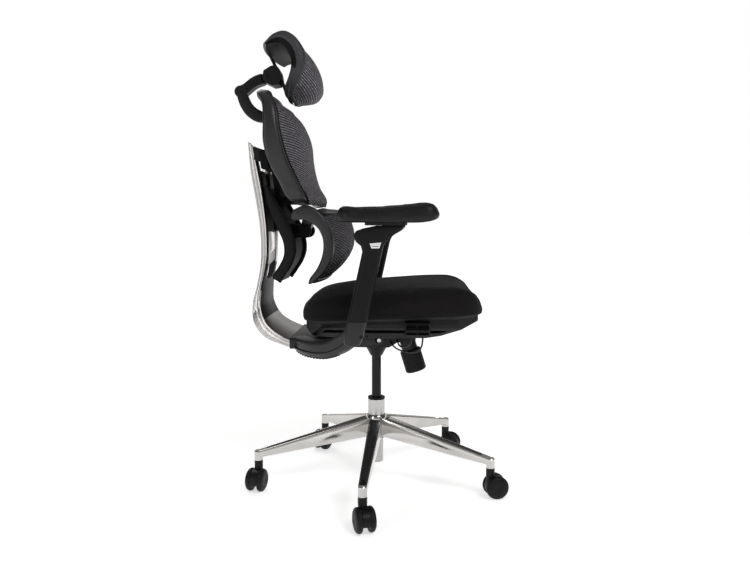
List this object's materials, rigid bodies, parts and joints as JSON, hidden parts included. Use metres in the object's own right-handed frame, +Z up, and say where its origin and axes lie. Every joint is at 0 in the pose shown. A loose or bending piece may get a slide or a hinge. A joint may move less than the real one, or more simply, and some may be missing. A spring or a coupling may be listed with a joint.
{
  "type": "swivel office chair",
  "caption": "High-back mesh swivel chair on a polished star base with twin-wheel casters, lift, recline, adjustable arms, lumbar and headrest.",
  "frame": {"origin": "on the floor, under the gas-lift axis", "axes": "+Z up; the chair faces -Y; +X is the sitter's left"},
  "size_m": [0.7512, 0.7879, 1.2921],
  "materials": {
    "polished_alloy": "polished",
    "black_trim": "gloss",
    "satin_plastic": "satin",
    "charcoal_frame": "satin",
    "caster_plastic": "satin",
    "caster_tread": "satin",
    "black_steel": "satin",
    "bright_steel": "polished",
    "chrome_trim": "polished",
    "seat_fabric": "matte",
    "mesh_cloth": "matte",
    "soft_pad": "satin",
    "cable_jacket": "satin"
  },
  "bodies": {
    "base": {"base_star": "polished_alloy", "leg_inlays": "black_trim", "caster_stems": "black_trim", "gas_cylinder": "bright_steel", "cylinder_bush": "black_trim"},
    "lift": {"gas_piston": "black_steel"},
    "mechanism": {"mechanism_housing": "black_steel", "recline_pin": "bright_steel"},
    "knob": {"tension_knob": "satin_plastic"},
    "back": {"back_bracket": "satin_plastic", "back_yoke": "polished_alloy", "back_panel": "satin_plastic", "yoke_clamps": "polished_alloy", "arm_column_left": "satin_plastic", "arm_column_right": "satin_plastic"},
    "seat": {"seat_carrier": "black_steel", "seat_pan": "satin_plastic", "seat_cushion": "seat_fabric", "control_box": "satin_plastic", "control_cables": "cable_jacket"},
    "height_paddle": {"height_lever": "satin_plastic"},
    "tilt_paddle": {"tilt_lever": "satin_plastic"},
    "backrest": {"back_frame": "charcoal_frame", "back_mesh": "mesh_cloth", "back_spine": "charcoal_frame", "lumbar_pin": "bright_steel"},
    "lumbar": {"lumbar_frame": "charcoal_frame", "lumbar_mesh": "mesh_cloth"},
    "headrest_post": {"headrest_stem": "charcoal_frame", "headrest_pins": "bright_steel"},
    "headrest_link": {"headrest_arm": "charcoal_frame"},
    "headrest": {"headrest_block": "charcoal_frame", "headrest_frame": "charcoal_frame", "headrest_mesh": "mesh_cloth"},
    "arm_head_left": {"arm_sleeve_left": "satin_plastic"},
    "arm_button_left": {"arm_button_left": "chrome_trim"},
    "arm_plate_left": {"arm_plate_left": "satin_plastic"},
    "arm_pad_left": {"arm_pad_left": "soft_pad"},
    "arm_head_right": {"arm_sleeve_right": "satin_plastic"},
    "arm_button_right": {"arm_button_right": "chrome_trim"},
    "arm_plate_right": {"arm_plate_right": "satin_plastic"},
    "arm_pad_right": {"arm_pad_right": "soft_pad"},
    "caster_1": {"caster_1_housing": "caster_plastic"},
    "caster_1_wheel_left": {"caster_1_wheel_left": "caster_tread"},
    "caster_1_wheel_right": {"caster_1_wheel_right": "caster_tread"},
    "caster_2": {"caster_2_housing": "caster_plastic"},
    "caster_2_wheel_left": {"caster_2_wheel_left": "caster_tread"},
    "caster_2_wheel_right": {"caster_2_wheel_right": "caster_tread"},
    "caster_3": {"caster_3_housing": "caster_plastic"},
    "caster_3_wheel_left": {"caster_3_wheel_left": "caster_tread"},
    "caster_3_wheel_right": {"caster_3_wheel_right": "caster_tread"},
    "caster_4": {"caster_4_housing": "caster_plastic"},
    "caster_4_wheel_left": {"caster_4_wheel_left": "caster_tread"},
    "caster_4_wheel_right": {"caster_4_wheel_right": "caster_tread"},
    "caster_5": {"caster_5_housing": "caster_plastic"},
    "caster_5_wheel_left": {"caster_5_wheel_left": "caster_tread"},
    "caster_5_wheel_right": {"caster_5_wheel_right": "caster_tread"}
  },
  "joints": [
    {"name": "gas_lift", "type": "slide", "parent": "base", "child": "lift", "axis": [0, 0, 1], "range_m": [-0.1, 0]},
    {"name": "seat_swivel", "type": "hinge", "parent": "lift", "child": "mechanism", "pos_m": [0, 0, 0.42], "axis": [0, 0, 1], "continuous": true},
    {"name": "recline", "type": "hinge", "parent": "mechanism", "child": "back", "pos_m": [0, -0.012, 0.441], "axis": [-1, 0, 0], "range_deg": [0, 16]},
    {"name": "seat_tilt", "type": "hinge", "parent": "mechanism", "child": "seat", "pos_m": [0, -0.095, 0.438], "axis": [-1, 0, 0], "range_deg": [0, 4.8]},
    {"name": "tension_turn", "type": "hinge", "parent": "mechanism", "child": "knob", "pos_m": [0, -0.0995, 0.3985], "axis": [0, -0.2924, -0.9563], "continuous": true},
    {"name": "height_paddle_lift", "type": "hinge", "parent": "seat", "child": "height_paddle", "pos_m": [-0.23, -0.119, 0.4925], "axis": [0, 1, 0], "range_deg": [0, 10], "stiffness_Nm_per_rad": 0.4},
    {"name": "tilt_paddle_lift", "type": "hinge", "parent": "seat", "child": "tilt_paddle", "pos_m": [-0.23, -0.119, 0.4925], "axis": [0, 1, 0], "range_deg": [0, 10], "stiffness_Nm_per_rad": 0.4},
    {"name": "arm_height_left", "type": "slide", "parent": "back", "child": "arm_head_left", "axis": [0, -0.213, 0.977], "range_m": [0, 0.07]},
    {"name": "arm_button_press_left", "type": "slide", "parent": "arm_head_left", "child": "arm_button_left", "axis": [-1, 0, 0], "range_m": [0, 0.0025], "stiffness_N_per_m": 500},
    {"name": "arm_turn_left", "type": "hinge", "parent": "arm_head_left", "child": "arm_plate_left", "pos_m": [0.312, -0.038, 0.774], "axis": [0, 0, 1], "range_deg": [-20, 20]},
    {"name": "arm_pad_shift_left", "type": "slide", "parent": "arm_plate_left", "child": "arm_pad_left", "axis": [0, 1, 0], "range_m": [-0.025, 0.025]},
    {"name": "arm_height_right", "type": "slide", "parent": "back", "child": "arm_head_right", "axis": [0, -0.213, 0.977], "range_m": [0, 0.07]},
    {"name": "arm_button_press_right", "type": "slide", "parent": "arm_head_right", "child": "arm_button_right", "axis": [1, 0, 0], "range_m": [0, 0.0025], "stiffness_N_per_m": 500},
    {"name": "arm_turn_right", "type": "hinge", "parent": "arm_head_right", "child": "arm_plate_right", "pos_m": [-0.312, -0.038, 0.774], "axis": [0, 0, 1], "range_deg": [-20, 20]},
    {"name": "arm_pad_shift_right", "type": "slide", "parent": "arm_plate_right", "child": "arm_pad_right", "axis": [0, 1, 0], "range_m": [-0.025, 0.025]},
    {"name": "back_height", "type": "slide", "parent": "back", "child": "backrest", "axis": [0, 0.1409, 0.99], "range_m": [0, 0.06]},
    {"name": "lumbar_flex", "type": "hinge", "parent": "backrest", "child": "lumbar", "pos_m": [0, 0.207, 0.748], "axis": [1, 0, 0], "range_deg": [0, 8], "stiffness_Nm_per_rad": 60},
    {"name": "headrest_height", "type": "slide", "parent": "backrest", "child": "headrest_post", "axis": [0, 0, 1], "range_m": [0, 0.04]},
    {"name": "headrest_swing", "type": "hinge", "parent": "headrest_post", "child": "headrest_link", "pos_m": [0, 0.393, 1.15], "axis": [-1, 0, 0], "range_deg": [0, 35]},
    {"name": "headrest_tilt", "type": "hinge", "parent": "headrest_link", "child": "headrest", "pos_m": [0, 0.309, 1.19], "axis": [-1, 0, 0], "range_deg": [-2, 30]},
    {"name": "caster_1_swivel", "type": "hinge", "parent": "base", "child": "caster_1", "pos_m": [-0.3495, 0.01862, 0.07], "axis": [0, 0, 1], "continuous": true},
    {"name": "caster_1_roll_left", "type": "hinge", "parent": "caster_1", "child": "caster_1_wheel_left", "pos_m": [-0.36454, 0.01315, 0.0325], "axis": [0.342, -0.9397, 0], "continuous": true},
    {"name": "caster_1_roll_right", "type": "hinge", "parent": "caster_1", "child": "caster_1_wheel_right", "pos_m": [-0.36454, 0.01315, 0.0325], "axis": [0.342, -0.9397, 0], "continuous": true},
    {"name": "caster_2_swivel", "type": "hinge", "parent": "base", "child": "caster_2", "pos_m": [-0.12571, -0.32664, 0.07], "axis": [0, 0, 1], "continuous": true},
    {"name": "caster_2_roll_left", "type": "hinge", "parent": "caster_2", "child": "caster_2_wheel_left", "pos_m": [-0.12212, -0.34223, 0.0325], "axis": [0.9744, 0.225, 0], "continuous": true},
    {"name": "caster_2_roll_right", "type": "hinge", "parent": "caster_2", "child": "caster_2_wheel_right", "pos_m": [-0.12212, -0.34223, 0.0325], "axis": [0.9744, 0.225, 0], "continuous": true},
    {"name": "caster_3_swivel", "type": "hinge", "parent": "base", "child": "caster_3", "pos_m": [0.27181, -0.2205, 0.07], "axis": [0, 0, 1], "continuous": true},
    {"name": "caster_3_roll_left", "type": "hinge", "parent": "caster_3", "child": "caster_3_wheel_left", "pos_m": [0.26634, -0.23553, 0.0325], "axis": [0.9397, -0.342, 0], "continuous": true},
    {"name": "caster_3_roll_right", "type": "hinge", "parent": "caster_3", "child": "caster_3_wheel_right", "pos_m": [0.26634, -0.23553, 0.0325], "axis": [0.9397, -0.342, 0], "continuous": true},
    {"name": "caster_4_swivel", "type": "hinge", "parent": "base", "child": "caster_4", "pos_m": [0.2937, 0.19037, 0.07], "axis": [0, 0, 1], "continuous": true},
    {"name": "caster_4_roll_left", "type": "hinge", "parent": "caster_4", "child": "caster_4_wheel_left", "pos_m": [0.27985, 0.19837, 0.0325], "axis": [-0.5, -0.866, 0], "continuous": true},
    {"name": "caster_4_roll_right", "type": "hinge", "parent": "caster_4", "child": "caster_4_wheel_right", "pos_m": [0.27985, 0.19837, 0.0325], "axis": [-0.5, -0.866, 0], "continuous": true},
    {"name": "caster_5_swivel", "type": "hinge", "parent": "base", "child": "caster_5", "pos_m": [-0.09029, 0.33815, 0.07], "axis": [0, 0, 1], "continuous": true},
    {"name": "caster_5_roll_left", "type": "hinge", "parent": "caster_5", "child": "caster_5_wheel_left", "pos_m": [-0.10594, 0.34148, 0.0325], "axis": [-0.2079, -0.9781, 0], "continuous": true},
    {"name": "caster_5_roll_right", "type": "hinge", "parent": "caster_5", "child": "caster_5_wheel_right", "pos_m": [-0.10594, 0.34148, 0.0325], "axis": [-0.2079, -0.9781, 0], "continuous": true}
  ],
  "couplings": [
    {"joint": "seat_tilt", "follows": "recline", "ratio": 0.3}
  ]
}
